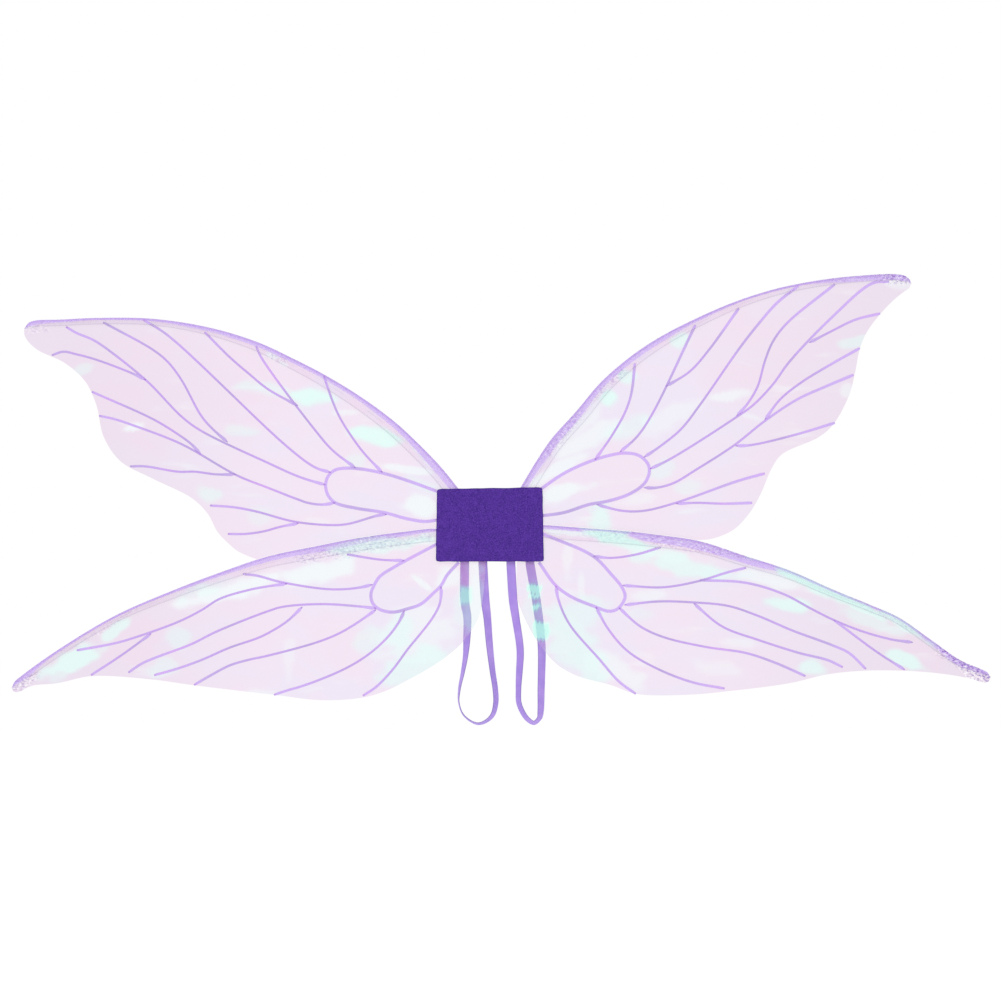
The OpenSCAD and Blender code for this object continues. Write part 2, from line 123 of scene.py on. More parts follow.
# Wing outlines, millimetres outward from the fold line and up from the patch's middle.
# A lead runs along the leading edge from the patch to the tip, a trail from the tip back.
# Each sheen patch is a kind, its centre, half sizes, turn in degrees and strength; the mint, pale
# and glare kinds are painted reflections.
# A band is the edge band's width at distances out, and each vein runs from its end to its root.
WINGS = {
    "upper_left": {
        "side": -1,
        "root": "0.23,0.34 0.50,0.83",
        "lead": "-8,65 18,92 44,116 82,144 123,169 160,188 199,206 252,222 316,232 380,233 "
        "424,231 447,230.3 456,227.5 461,221",
        "trail": "461,221 460.8,214 457,207 446,197 415,182 392,161 380,135 372,100 353,72 "
        "316,52 272,30 254,12 244,-7 234,-18 222,-28.5 210,-34.5 199,-38.6",
        "below": "lower_left",
        "vein": 0.95,
        "flat": (0.54, 0.28),
        "area": 0.0823,
        "cell": "-6,37 30,50 56,58 82,63 98,64 111,62 119,55 122,45 119,33 111,25 88,19 56,14 "
        "30,7 10,4 -6,6",
        "sheen": "mint 140,144 27,9 3 1; mint 182,152 36,7 10 0.55; mint 65,99 32,10 13 1; "
        "pale 100,127 15,3 0 0.7; mint 218,107 22,6 0 0.5; pale 339,110 12,4 -12 0.9; mint "
        "396,174 12,6 -20 0.5; mint 254,35 17,8 15 0.6; mint 199,11 16,9 0 0.35; mint 86,73 "
        "12,10 0 0.5; pale 29,62 27,4 8 0.9; mint 10,44 22,6 25 0.4; pale 18,24 20,11 15 1; "
        "pale 7,73 20,4 45 0.6; pale 182,191 8,3 25 0.8; pale 169,181 6,3 25 0.8; rose "
        "290,150 110,60 0 0.6; crinkle 171,186 18,4 25 0.8; crinkle 449,224 16,7 -5 0.5",
        "band": "-7,9.5 38,7.0 94,5.5 151,5.5 207,6.0 263,5.0 320,3.5 376,3.0 421,4.0 454,6.0",
        "veins": "124,168 114,139 106,121 93,100 78,80 58,59; 200,201 194,188 134,107 114,84 "
        "88,64; 258,217 230,189 208,170 187,153 153,134; 327,231 299,213 165,88 134,65 "
        "116,59; 372,228 316,197 299,183 284,163 262,123 250,109 232,93; 414,223 402,216 "
        "385,209 372,201 323,162 284,122 262,106 187,70 151,54 122,45; 430,191 417,195 "
        "402,192 380,186 338,170 324,163; 385,150 316,119 288,102 273,91 262,79; 377,123 "
        "359,119 338,112 284,91 222,56 187,42 151,28 142,25 126,23 111,25; 342,66 325,66 "
        "288,60 269,60 245,57 223,57; 252,22 225,20 199,15 158,4 119,0 98,1 62,11 53,12; "
        "232,-10 212,-10 191,-7 173,-2 152,2",
    },
    "lower_left": {
        "side": -1,
        "root": "0.37,-0.20 0.80,-0.15",
        "lead": "0,-4 30,-7 82,-14 134,-24 186,-35 237,-52 295,-74 359,-102 424,-141 462,-168 "
        "472,-176.5 475,-183",
        "trail": "475,-183 473.5,-187 468,-188 453,-181 424,-178 385,-170 316,-174 273,-180 "
        "180,-191 126,-197 80,-194 53,-186 29,-174 4,-160 -15,-147 -31,-133 -43,-117 "
        "-52,-98 -58,-44 -57,-36",
        "below": None,
        "vein": 1.0,
        "flat": (0.56, 0.22),
        "area": 0.0703,
        "cell": "-4,-21 46,-48 61,-58 68,-69 71,-78 69,-88 61,-95 46,-98 29,-94 15,-89 0,-76 "
        "-8,-68 -15,-56 -28,-42",
        "sheen": "pale 130,-53 45,10 -12 1; mint 61,-22 51,10 -6 0.75; pale 232,-74 58,9 -14 "
        "1; mint 258,-73 34,7 -15 0.4; mint 359,-118 22,7 -38 0.8; mint 405,-153 38,12 -30 "
        "0.9; mint 289,-129 14,12 0 0.5; mint 303,-161 17,11 0 0.5; pale 163,-146 6,24 0 "
        "0.4; pale 20,-125 40,30 -20 0.6; pale 194,-190 18,7 0 0.6; mint 70,-129 20,14 -20 "
        "0.5; mint 40,-124 15,22 0 0.6; mint 21,-160 40,19 -22 0.7; pale -18,-58 15,14 0 "
        "0.8; pale -46,-84 13,42 0 1; mint -32,-90 11,29 0 0.4; pale 14,-65 16,3 40 0.9; "
        "glare -36,-79 7,10 0 0.6; pale 10,-19 18,4 -5 0.9; rose 345,-130 42,26 -22 0.9; "
        "crinkle 111,-32 56,6 -9 0.8; crinkle 55,-19 45,8 -5 0.7; crinkle 461,-178 16,7 -40 "
        "1; crinkle 364,-112 56,3 -32 0.4",
        "band": "-1,5.0 61,7.0 117,8.5 173,7.0 263,4.5 320,3.0 376,3.0 432,3.5 466,7.0",
        "veins": "98,-33 60,-39 33,-40; 215,-55 199,-57 173,-64 122,-72 98,-72 82,-70 69,-67; "
        "402,-141 359,-133 338,-127 288,-109 262,-96 241,-83 208,-73 187,-69 165,-66; "
        "386,-169 351,-146 318,-122; 344,-166 327,-155 273,-134 245,-120 187,-97 170,-92 "
        "126,-89 80,-92 65,-94; 315,-169 290,-162 262,-152 230,-138 198,-127 182,-119 "
        "165,-108 148,-92; 270,-180 251,-169 230,-158 210,-152 187,-147 132,-132 107,-122 "
        "88,-111 65,-95; 180,-191 165,-186 151,-182 126,-173 97,-160 73,-145 53,-127 "
        "40,-110 33,-96; 80,-192 65,-182 46,-162 29,-139 15,-122 2,-105 -6,-90 -8,-78 "
        "-8,-69",
    },
    "upper_right": {
        "side": 1,
        "root": "0.24,0.24 0.46,0.76",
        "lead": "-7,78 7,98 34,128 62,161 97,191 129,212 168,232 212,251 252,264 282,271 "
        "326,278 375,282 393,282.3 402,281 408,277.5 411,272",
        "trail": "411,272 408.5,266.5 402,262 390,252 375,236 361,217 353,198 348,173 341,146 "
        "323,113 307,99 266,80 255,66 241,34 230,15 214,-3 200,-11 184,-16 169,-17",
        "below": "lower_right",
        "vein": 1.18,
        "flat": (0.54, 0.28),
        "area": 0.0797,
        "cell": "-8,39 20,58 48,71 70,78 89,81 105,78 115,68 116,58 110,46 94,35 70,27 48,23 "
        "20,14 -8,10",
        "sheen": "mint 72,141 9,11 0 1; mint 91,166 10,8 20 0.8; pale 36,112 36,9 42 0.6; "
        "pale 47,96 40,10 28 0.8; pale 16,65 32,7 30 0.9; mint 92,109 29,11 25 0.5; pale "
        "140,122 40,11 25 0.5; mint 151,207 11,8 10 0.8; pale 204,145 21,6 5 0.8; pale "
        "230,122 19,3 -15 0.5; mint 348,206 17,6 12 0.6; pale 338,152 7,7 0 0.6; mint "
        "162,43 14,9 0 0.45; mint 128,62 17,10 20 0.5; pale 18,37 27,9 12 1; mint 61,6 "
        "12,20 0 0.8; pale 106,29 22,6 10 0.5; pale -1,54 11,4 40 0.7; crinkle 18,101 45,6 "
        "52 0.7; crinkle 72,160 25,4 40 0.8; crinkle 394,279 22,7 -3 1.3; pale 400,274 16,8 "
        "0 0.5; rose 230,190 80,60 0 0.45; crinkle 353,278 34,4 3 0.6",
        "band": "-18,8.0 -1,10.0 21,9.5 61,7.0 117,7.0 173,4.5 230,3.0 286,3.0 342,7.0 "
        "387,8.0",
        "veins": "100,182 96,148 89,127 75,102 55,73; 168,225 119,124 102,99 83,82; 217,244 "
        "184,198 162,173 135,156; 284,269 260,250 238,225 217,198 173,135 152,108 129,89 "
        "110,76; 325,271 271,227 255,206 246,184 238,156 227,137 214,122; 386,274 367,272 "
        "321,233 274,184 255,158 233,135 209,118 141,75 117,63; 376,238 348,231 321,218 "
        "296,205; 353,199 321,181 288,161 263,141 246,118; 346,169 315,156 282,141 246,117 "
        "212,90 170,63 143,47 124,42 110,42; 325,115 282,102 231,90 213,89; 246,58 217,50 "
        "146,25 110,16 86,16 57,23; 232,25 200,24 170,25 146,24",
    },
    "lower_right": {
        "side": 1,
        "root": "0.37,-0.07 0.77,-0.02",
        "lead": "-3,0 26,-2 92,-7 126,-11 172,-18 225,-35 274,-51 324,-73 363,-89 397,-104 "
        "433,-129 466,-152 488,-161.5 497,-166 500,-171",
        "trail": "500,-171 498.5,-175.5 493,-177 479,-173 443,-167 404,-164 357,-164 317,-168 "
        "274,-178 205,-187 159,-191 102,-190 73,-180 36,-170 14,-158 0,-144 -11,-129 "
        "-23,-107 -32,-83 -33,-42 -34,-36",
        "below": None,
        "vein": 1.05,
        "flat": (0.57, 0.21),
        "area": 0.0714,
        "cell": "-6,-9 53,-35 73,-55 86,-71 89,-81 81,-94 71,-97 53,-91 29,-81 11,-68 -8,-42",
        "sheen": "mint 66,-8 27,7 -6 1; mint 83,-18 29,6 -10 1; pale 27,-7 29,6 -10 0.9; mint "
        "156,-45 54,11 -12 0.8; pale 137,-35 34,6 -10 0.6; mint 310,-71 96,7 -25 1; mint "
        "398,-109 45,6 -33 0.9; mint 274,-90 25,9 -5 0.9; pale 254,-62 40,8 -12 0.8; mint "
        "362,-106 38,9 -22 0.6; mint 404,-152 25,8 -28 0.9; mint 298,-161 16,9 0 0.8; pale "
        "115,-79 20,6 0 0.6; pale 213,-132 22,6 -5 0.5; mint 106,-101 16,7 0 0.3; mint "
        "33,-138 52,22 -58 0.7; pale 74,-161 34,15 -25 0.7; mint 44,-98 22,18 0 0.6; pale "
        "24,-37 6,22 0 0.5; pale 40,-68 4,18 0 0.5; glare -14,-72 8,4.5 -12 1; glare "
        "-13.5,-80 7,2.5 -8 0.8; glare -6,-114 8,4 -10 1; glare -5.5,-124 7.5,5 -6 1; glare "
        "-11,-92 5,3 25 0.8; mint -14,-96 14,29 0 0.4; pale 191,-161 25,8 -8 0.4; rose "
        "400,-128 62,20 -25 0.8; crinkle 162,-22 79,6 -10 0.8; crinkle 476,-160 34,10 -32 "
        "1.8; crinkle 364,-90 101,6 -28 0.4; crinkle 61,-11 34,6 -8 0.5",
        "band": "-1,5.5 38,5.5 61,2.0 83,4.5 117,10.0 173,11.0 230,9.0 286,4.5 342,3.5 "
        "398,3.0 443,5.5 477,11.0",
        "veins": "129,-25 102,-33 73,-37 53,-35; 225,-48 205,-53 172,-63 132,-70 86,-68; "
        "173,-62 225,-65 268,-78 298,-94 324,-107 357,-120 390,-129 413,-132; 324,-107 "
        "374,-144 404,-163; 360,-162 341,-144 324,-136 278,-119 238,-102 205,-91 165,-87 "
        "126,-86 88,-90; 334,-160 317,-152 285,-144 238,-129 198,-114 166,-88; 292,-170 "
        "258,-155 225,-144 179,-137 132,-126 106,-114 82,-93; 201,-184 165,-177 126,-162 "
        "92,-142 70,-117 56,-92; 101,-190 82,-176 60,-151 26,-111 14,-84 11,-68",
    },
}

# Arm loops: across, towards the wearer from the elastic's layer, drop below the patch, twist
STRAP_W, STRAP_T = 10.0, 1.0
STRAP_HOLD, STRAP_START = 24.0, 3.4
LOOPS = {
    "left": "-28.5,0,3.4,0 -28.5,0.4,43,8 -25.5,1.8,64,28 -26,2.2,84,36 -27.5,0,106,56 "
    "-30.5,-3,124,66 -34.5,-4,144,76 -35,-4,159,84 -29.5,-4,173,82 -13.5,-4,182.5,74 "
    "2,-4,174,62 6.5,-3.5,159,56 6,-3,144,54 3,-2,124,52 -0.5,-0.5,94,42 -3,1,64,32 "
    "-5.5,1,43,14 -8,0,3.4,0",
    "right": "23.5,0,3.4,0 26,0.8,43,14 29,1,64,30 33.5,-1,94,36 34,-2,106,38 33,-3,124,44 "
    "32,-4,144,54 32.5,-4,159,55 37.5,-4,171,56 43,-4,178,58 49.5,-4,181.5,62 55,-4,177,58 "
    "57,-3.5,168,46 57.5,-3,144,38 58,-2,126,36 58.3,2,100,30 57,2,80,26 55,1.4,64,20 "
    "52,0.6,43,10 45,0,3.4,0",
}


# ---------------------------------------------------------------- paths


def read_points(text):
    """A written list of points as vectors of two to four numbers."""
    return [Vector([float(n) for n in p.split(",")]) for p in text.split()]


def smooth_path(points, steps=10):
    """A centripetal Catmull-Rom curve through every point."""
    out = []
    for i in range(len(points) - 1):
        b, c = points[i], points[i + 1]
        a = points[i - 1] if i else 2 * b - c
        d = points[i + 2] if i + 2 < len(points) else 2 * c - b
        d0, d1, d2 = (
            math.sqrt(max((q - p).length, NEAREST_POINT)) for p, q in ((a, b), (b, c), (c, d))
        )
        m1 = ((b - a) / d0 - (c - a) / (d0 + d1) + (c - b) / d1) * d1
        m2 = ((c - b) / d1 - (d - b) / (d1 + d2) + (d - c) / d2) * d1
        for k in range(steps):
            t = k / steps
            out.append(
                b * (2 * t**3 - 3 * t**2 + 1)
                + m1 * (t**3 - 2 * t**2 + t)
                + c * (3 * t**2 - 2 * t**3)
                + m2 * (t**3 - t**2)
            )
    return out + [points[-1].copy()]


def path_length(path):
    return sum((b - a).length for a, b in zip(path, path[1:]))


def evenly(path, count):
    """The path again, as count + 1 points at equal distances along it."""
    total = path_length(path)
    out, i, run = [], 0, 0.0
    for k in range(count + 1):
        goal = total * k / count
        while i < len(path) - 2 and run + (path[i + 1] - path[i]).length < goal:
            run += (path[i + 1] - path[i]).length
            i += 1
        step = (path[i + 1] - path[i]).length
        share = min(max((goal - run) / step if step > 1e-9 else 0.0, 0.0), 1.0)
        out.append(path[i].lerp(path[i + 1], share))
    return out


def left_of(path, i):
    """The unit direction to the left of a flat path at its point i."""
    t = path[min(i + 1, len(path) - 1)] - path[max(i - 1, 0)]
    return Vector((-t.y, t.x)).normalized()


def smooth_step(x, low=0.0, high=1.0):
    t = min(max((x - low) / (high - low), 0.0), 1.0)
    return t * t * (3 - 2 * t)


def root_points(wing):
    """The wire's end under the patch and where it starts to bend."""
    return [
        Vector((r.x * PATCH_W / 2 / MM - FOLD_X / MM, r.y * PATCH_H / 2 / MM))
        for r in read_points(WINGS[wing]["root"])
    ]


def lead_path(wing, steps=10):
    """The film's leading edge, from where the wire starts to bend to the tip."""
    points = root_points(wing) + read_points(WINGS[wing]["lead"])
    return smooth_path(points, steps)[steps:]


def trail_path(wing):
    """The film's free edge, from the patch out to the tip."""
    trail = smooth_path(read_points(WINGS[wing]["trail"]))[::-1]
    below = WINGS[wing]["below"]
    if below:
        meet = trail[0].x
        edge = [p + Vector((0, WING_GAP)) for p in lead_path(below) if p.x < meet]
        trail = edge + trail
    return trail


def placed(wing, p, y):
    """A point of the wing's drawing at a layer's depth, in the frame."""
    return Vector((WINGS[wing]["side"] * (FOLD_X + p.x * MM), y, p.y * MM))


# ---------------------------------------------------------------- mesh helpers


def finished(name, bm, material, smooth=True):
    """The bmesh as a new object at the origin, with its material and slot."""
    mesh = bpy.data.meshes.new(name)
    bm.to_mesh(mesh)
    bm.free()
    mesh.polygons.foreach_set("use_smooth", [smooth] * len(mesh.polygons))
    mesh.materials.append(material)
    piece = bpy.data.objects.new(name, mesh)
    bpy.context.scene.collection.objects.link(piece)
    return piece


def grid_on(bm, columns, rows, place):
    """A grid of faces placed by column and row; each vertex is returned with its two."""
    made = bmesh.ops.create_grid(
        bm, x_segments=columns, y_segments=rows, size=0.5, calc_uvs=True
    )["verts"]
    at = {v: (round((v.co.x + 0.5) * columns), round((v.co.y + 0.5) * rows)) for v in made}
    for v in made:
        v.co = place(*at[v])
    return at


def lay_flat(bm, at, flat_at):
    """The UV of each corner of a grid, from its column and row."""
    uv = bm.loops.layers.uv.active
    for face in {f for v in at for f in v.link_faces}:
        for corner in face.loops:
            corner[uv].uv = flat_at(*at[corner.vert])


def new_sheet():
    bm = bmesh.new()
    bm.loops.layers.uv.new("UVMap")
    return bm


def swept(bm, rings, sides, place, flat_at=None):
    """A closed tube or band: each ring's last point meets its first, and both ends are closed."""
    at = grid_on(bm, rings, sides, place)
    if flat_at:
        lay_flat(bm, at, flat_at)
    bmesh.ops.remove_doubles(bm, verts=list(at), dist=MERGE)
    rim = [e for e in bm.edges if e.is_boundary]
    bmesh.ops.holes_fill(bm, edges=rim, sides=sides)
    bmesh.ops.recalc_face_normals(bm, faces=bm.faces)


# ---------------------------------------------------------------- shader helpers


class Shades:
    """Adds nodes to one material or group and links them."""

    def __init__(self, tree):
        self.tree = tree

    def add(self, kind, sockets=(), **settings):
        made = self.tree.nodes.new(kind)
        for key, value in settings.items():
            setattr(made, key, value)
        for key, value in dict(sockets).items():
            socket = made.inputs[key]
            if isinstance(value, bpy.types.NodeSocket):
                self.tree.links.new(value, socket)
            else:
                socket.default_value = value
        return made

    def math(self, operation, a, b=0.0, clamp=False):
        made = self.add(
            "ShaderNodeMath", {0: a, 1: b}, operation=operation, use_clamp=clamp
        )
        return made.outputs[0]

    def times(self, a, b, clamp=False):
        return self.math("MULTIPLY", a, b, clamp)

    def plus(self, a, b, clamp=False):
        return self.math("ADD", a, b, clamp)

    def minus(self, a, b):
        return self.math("SUBTRACT", a, b)

    def size(self, a):
        return self.math("ABSOLUTE", a)

    def spot(self):
        """The place on the object, in metres."""
        return self.add("ShaderNodeTexCoord").outputs["Object"]

    def flat(self):
        """The two sides of the piece's own UV map."""
        uv = self.add("ShaderNodeUVMap").outputs["UV"]
        return self.add("ShaderNodeSeparateXYZ", {0: uv}).outputs

    def feed(self, shader, socket, value):
        self.tree.links.new(value, shader.inputs[socket])

    def mix(self, factor, a, b):
        made = self.add("ShaderNodeMix", {"Factor": factor}, data_type="RGBA")
        for socket, value in ((made.inputs[6], a), (made.inputs[7], b)):
            if isinstance(value, bpy.types.NodeSocket):
                self.tree.links.new(value, socket)
            else:
                socket.default_value = (*value, 1.0)[:4]
        return made.outputs[2]

    def ramp(self, value, low, high, out_low=0.0, out_high=1.0):
        made = self.add(
            "ShaderNodeMapRange",
            {"Value": value, "From Min": low, "From Max": high,
             "To Min": out_low, "To Max": out_high},
            interpolation_type="SMOOTHSTEP",
        )
        return made.outputs["Result"]

    def read_vector(self, name):
        found = self.add("ShaderNodeAttribute", attribute_name=name).outputs["Vector"]
        return self.add("ShaderNodeSeparateXYZ", {0: found}).outputs

    def noise(self, vector, scale, detail=2.0, roughness=0.5, distortion=0.0):
        made = self.add(
            "ShaderNodeTexNoise",
            {"Vector": vector, "Scale": scale, "Detail": detail,
             "Roughness": roughness, "Distortion": distortion},
        )
        return made.outputs["Fac"]

    def stretched(self, vector, scale, turn=0.0):
        made = self.add(
            "ShaderNodeMapping",
            {"Vector": vector, "Scale": scale, "Rotation": (0.0, turn, 0.0)},
        )
        return made.outputs["Vector"]


def shading(name):
    """A new node material with its Principled shader, and the helper that adds to it."""
    material = bpy.data.materials.new(name)
    material.use_nodes = True
    shader = material.node_tree.nodes["Principled BSDF"]
    return material, Shades(material.node_tree), shader


def steady(shader, values):
    """Sets what is the same all over the surface on the shader's own sockets."""
    for socket, value in values.items():
        shader.inputs[socket].default_value = value


def effect_group(name, inputs, outputs):
    """A new node group with its named sockets; the caller fills it in."""
    group = bpy.data.node_groups.new(name, "ShaderNodeTree")
    for label, default in inputs:
        kind = "NodeSocketVector" if default is None else "NodeSocketFloat"
        socket = group.interface.new_socket(label, in_out="INPUT", socket_type=kind)
        if default is not None:
            socket.default_value = default
    for label in outputs:
        group.interface.new_socket(label, in_out="OUTPUT", socket_type="NodeSocketFloat")
    shades = Shades(group)
    given = shades.add("NodeGroupInput").outputs
    return group, shades, given, shades.add("NodeGroupOutput").inputs


def grain_group():
    """Fine irregular grain with slower patches: Grain for bump, Patches for colour."""
    group, s, given, out = effect_group(
        "Fine Grain", (("Vector", None), ("Size", 1.0), ("Contrast", 0.5)), ("Grain", "Patches")
    )
    fine = s.math("DIVIDE", 1.0, given["Size"])
    slow = s.times(fine, 0.06)
    grain = s.noise(given["Vector"], fine, detail=3.0, roughness=0.7)
    patches = s.noise(given["Vector"], slow, detail=2.0)
    half = s.times(given["Contrast"], 0.5)
    low, high = s.minus(0.5, half), s.plus(0.5, half)
    s.tree.links.new(s.ramp(grain, low, high), out["Grain"])
    s.tree.links.new(s.ramp(patches, low, high), out["Patches"])
    return group


def fibre_group():
    """Short tangled fibres, as in pressed felt."""
    group, s, given, out = effect_group(
        "Felt Fibres", (("Vector", None), ("Size", 1.0)), ("Fibres", "Tufts")
    )
    scale = s.math("DIVIDE", 1.0, given["Size"])
    pull = s.noise(given["Vector"], s.times(scale, 0.35), detail=1.0)
    warped = s.add(
        "ShaderNodeVectorMath",
        {0: given["Vector"], 1: s.add("ShaderNodeCombineXYZ", {
            "X": s.times(pull, 0.0012), "Z": s.times(pull, -0.0009)
        }).outputs[0]},
        operation="ADD",
    ).outputs[0]
    strands = s.add(
        "ShaderNodeTexVoronoi", {"Vector": s.stretched(warped, (1.0, 1.0, 0.38), 0.6),
                                 "Scale": scale}, feature="DISTANCE_TO_EDGE"
    ).outputs["Distance"]
    crossed = s.add(
        "ShaderNodeTexVoronoi", {"Vector": s.stretched(warped, (0.42, 1.0, 1.0), 0.35),
                                 "Scale": scale}, feature="DISTANCE_TO_EDGE"
    ).outputs["Distance"]
    fibres = s.math("MINIMUM", s.ramp(strands, 0.0, 0.22), s.ramp(crossed, 0.0, 0.22))
    s.tree.links.new(fibres, out["Fibres"])
    s.tree.links.new(
        s.noise(given["Vector"], s.times(scale, 0.22), detail=3.0, roughness=0.6),
        out["Tufts"],
    )
    return group


def in_group(s, group, sockets):
    return s.add("ShaderNodeGroup", sockets, node_tree=group).outputs


def bumped(s, shader, height, depth, strength=1.0):
    made = s.add(
        "ShaderNodeBump", {"Height": height, "Distance": depth, "Strength": strength}
    )
    s.tree.links.new(made.outputs["Normal"], shader.inputs["Normal"])


# ---------------------------------------------------------------- finishes


# Ramps of the film's looks: from and to, then what each end gives
HEM_SIDE = (-0.0014, -0.0006, 1.0, 0.0)
CLOUDS = (0.38, 0.6)
OUTER_SHADE = (0.20, 0.48, 0.0, 0.8)
STREAKS = (0.58, 0.8, 0.0, 0.5)
BAND_EDGE = (-0.0008, 0.0005, 1.0, 0.0)
BAND_IN_SHEEN = (0.4, 1.0, 1.0, 0.3)
SEAM = (0.0002, 0.0012, 1.0, 0.0)
SECOND_SEAM = (0.0002, 0.0011, 1.0, 0.0)
SEAM_BREAKS = (0.44, 0.58)
SHADE_SPECKS, GLINTS = (0.50, 0.64), (0.36, 0.46, 1.0, 0.0)
BAND_FLECKS = (0.25, 0.8)
GLARE_VEIL = (1.0, 1.5, 0.0, 0.22)
FILM_GLOSS = (0.3, 0.7, 0.16, 0.3)
GLINT_COLOUR = (0.95, 0.95, 0.98)


def film_finish(colours, groups):
    """Clear lilac film: pale pink, with mint and white painted reflections, a printed edge and a
    sealed hem.
    """
    material, s, shader = shading("Iridescent Film")
    spot = s.spot()
    across = s.flat()["Y"]
    sheen = s.read_vector("sheen")
    widths = s.read_vector("edge_widths")
    depth = s.size(across)
    on_hem = s.ramp(across, *HEM_SIDE)

    cloud = s.noise(s.stretched(spot, (9.0, 9.0, 16.0), 0.25), 1.0, detail=2.0, distortion=0.8)
    streaks = s.noise(s.stretched(spot, (14.0, 14.0, 60.0), 0.12), 1.0, detail=3.0)
    flecks = s.noise(s.stretched(spot, (1.0, 1.0, 1.6)), 300.0, detail=2.0, roughness=0.7)
    tint = s.mix(s.ramp(cloud, *CLOUDS), colours.film_lilac, colours.film_pink)
    reach = s.size(s.add("ShaderNodeSeparateXYZ", {0: spot}).outputs["X"])
    tint = s.mix(s.ramp(reach, *OUTER_SHADE), tint, colours.film_shade)
    tint = s.mix(s.times(widths["Z"], 0.6), tint, colours.film_rose)
    # The white streaks and the mint and pale patches are painted reflections, fixed into the
    # film's colour.
    tint = s.mix(s.ramp(streaks, *STREAKS), tint, colours.film_pale_reflection)
    pale = s.plus(sheen["Y"], s.times(flecks, s.times(sheen["Y"], 0.1)))
    tint = s.mix(s.times(pale, 0.85, clamp=True), tint, colours.film_pale_reflection)
    tint = s.mix(s.times(sheen["X"], 0.95, clamp=True), tint, colours.film_mint_reflection)

    rough_edge = s.times(s.minus(flecks, 0.5), 0.0022)
    inside = s.plus(s.minus(depth, widths["X"]), rough_edge)
    band = s.ramp(inside, *BAND_EDGE)
    band = s.times(band, s.ramp(sheen["X"], *BAND_IN_SHEEN))
    seam = s.size(s.plus(across, widths["Y"]))
    seam = s.ramp(seam, *SEAM)
    second = s.plus(across, s.times(widths["Y"], 0.64))
    second = s.ramp(s.size(second), *SECOND_SEAM)
    second = s.times(second, s.ramp(streaks, *SEAM_BREAKS))
    line = s.math("MAXIMUM", seam, s.times(second, 0.6))
    # In crinkle zones the dark specks are painted crease shade and the light flecks are painted
    # glints.
    shade_speck = s.times(sheen["Z"], s.ramp(flecks, *SHADE_SPECKS))
    glint = s.times(sheen["Z"], s.ramp(flecks, *GLINTS), clamp=True)

    band_tone = s.mix(s.ramp(flecks, *BAND_FLECKS), colours.band, colours.band_light)
    tint = s.mix(s.times(line, 0.8), tint, colours.seam)
    tint = s.mix(band, tint, band_tone)
    tint = s.mix(s.times(glint, 0.7), tint, GLINT_COLOUR)
    tint = s.mix(s.times(shade_speck, 0.6, clamp=True), tint, colours.crease_shade)
    s.feed(shader, "Base Color", tint)

    veil = s.times(s.minus(1.0, s.times(on_hem, 0.6)),
                  colours.film_density)
    veil = s.plus(veil, s.times(sheen["X"], 0.10))
    veil = s.plus(veil, s.ramp(sheen["X"], *GLARE_VEIL))
    solid = s.plus(s.times(line, 0.32), s.times(shade_speck, 0.26))
    solid = s.plus(solid, s.times(band, colours.band_density))
    s.tree.links.new(s.plus(veil, solid, clamp=True), shader.inputs["Alpha"])

    crinkle = in_group(s, groups["grain"], {"Vector": s.stretched(spot, (1.0, 1.0, 2.2)),
                                            "Size": 0.012, "Contrast": 0.8})["Grain"]
    height = s.plus(s.times(crinkle, 0.35),
                    s.times(flecks, s.times(sheen["Z"], 0.8)))
    bumped(s, shader, height, 0.0009, 0.6)
    s.tree.links.new(s.ramp(cloud, *FILM_GLOSS), shader.inputs["Roughness"])
    shader.inputs["IOR"].default_value = 1.48
    return material


def vein_finish(colours, groups):
    """Printed veins: lilac at the root, deeper towards the tip, with a soft edge."""
    material, s, shader = shading("Printed Vein")
    spot = s.spot()
    uv = s.flat()
    width, across = uv["X"], uv["Y"]
    patches = s.noise(spot, 18.0)
    tone = s.mix(s.ramp(width, 0.0020, 0.0038), colours.vein_deep, colours.vein_light)
    tone = s.mix(s.ramp(patches, 0.45, 0.72, 0.0, 0.6), tone, colours.vein_grey)
    tone = s.mix(s.ramp(patches, 0.42, 0.25, 0.0, 0.6), tone, colours.vein_rose)
    s.feed(shader, "Base Color", tone)
    rim = s.size(s.minus(across, 0.5))
    soft = s.ramp(rim, 0.30, 0.5, colours.vein_density, 0.0)
    s.feed(shader, "Alpha", soft)
    shader.inputs["Roughness"].default_value = 0.4
    grain = in_group(s, groups["grain"], {"Vector": spot, "Size": 0.002})["Grain"]
    bumped(s, shader, grain, 0.0001, 0.2)
    return material


# Felt: sizes of its fibres and grain, metres, then where painted shade darkens its border
FIBRE_SIZE, FELT_GRAIN = 0.0013, 0.0016
FELT_RIM_SHADE = (0.0002, 0.0016, 0.85, 0.0)


